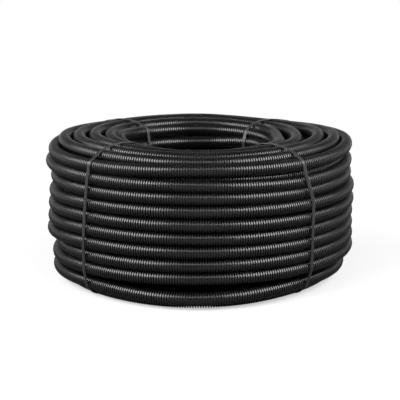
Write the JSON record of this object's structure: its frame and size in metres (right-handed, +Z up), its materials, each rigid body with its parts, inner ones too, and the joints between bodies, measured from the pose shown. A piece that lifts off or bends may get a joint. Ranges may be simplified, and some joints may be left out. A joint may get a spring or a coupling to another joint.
{
  "type": "split spiral hose coil",
  "caption": "Free-standing coil of black corrugated split conduit, wound in stacked layers round an open bore and held by flat plastic straps.",
  "frame": {"origin": "on the coil's axis, at the level of the straps' undersides that it rests on", "axes": "+Z up along the coil's axis, -Y towards the picture's viewer, +X to that viewer's right"},
  "size_m": [0.3916, 0.3916, 0.1843],
  "materials": {
    "conduit": "satin black polyethylene, ribbed",
    "strap": "smooth grey strapping"
  },
  "bodies": {
    "root": {"hose_coil": "conduit", "front_left_strap": "strap", "front_right_strap": "strap", "back_left_strap": "strap", "back_right_strap": "strap"}
  },
  "joints": []
}
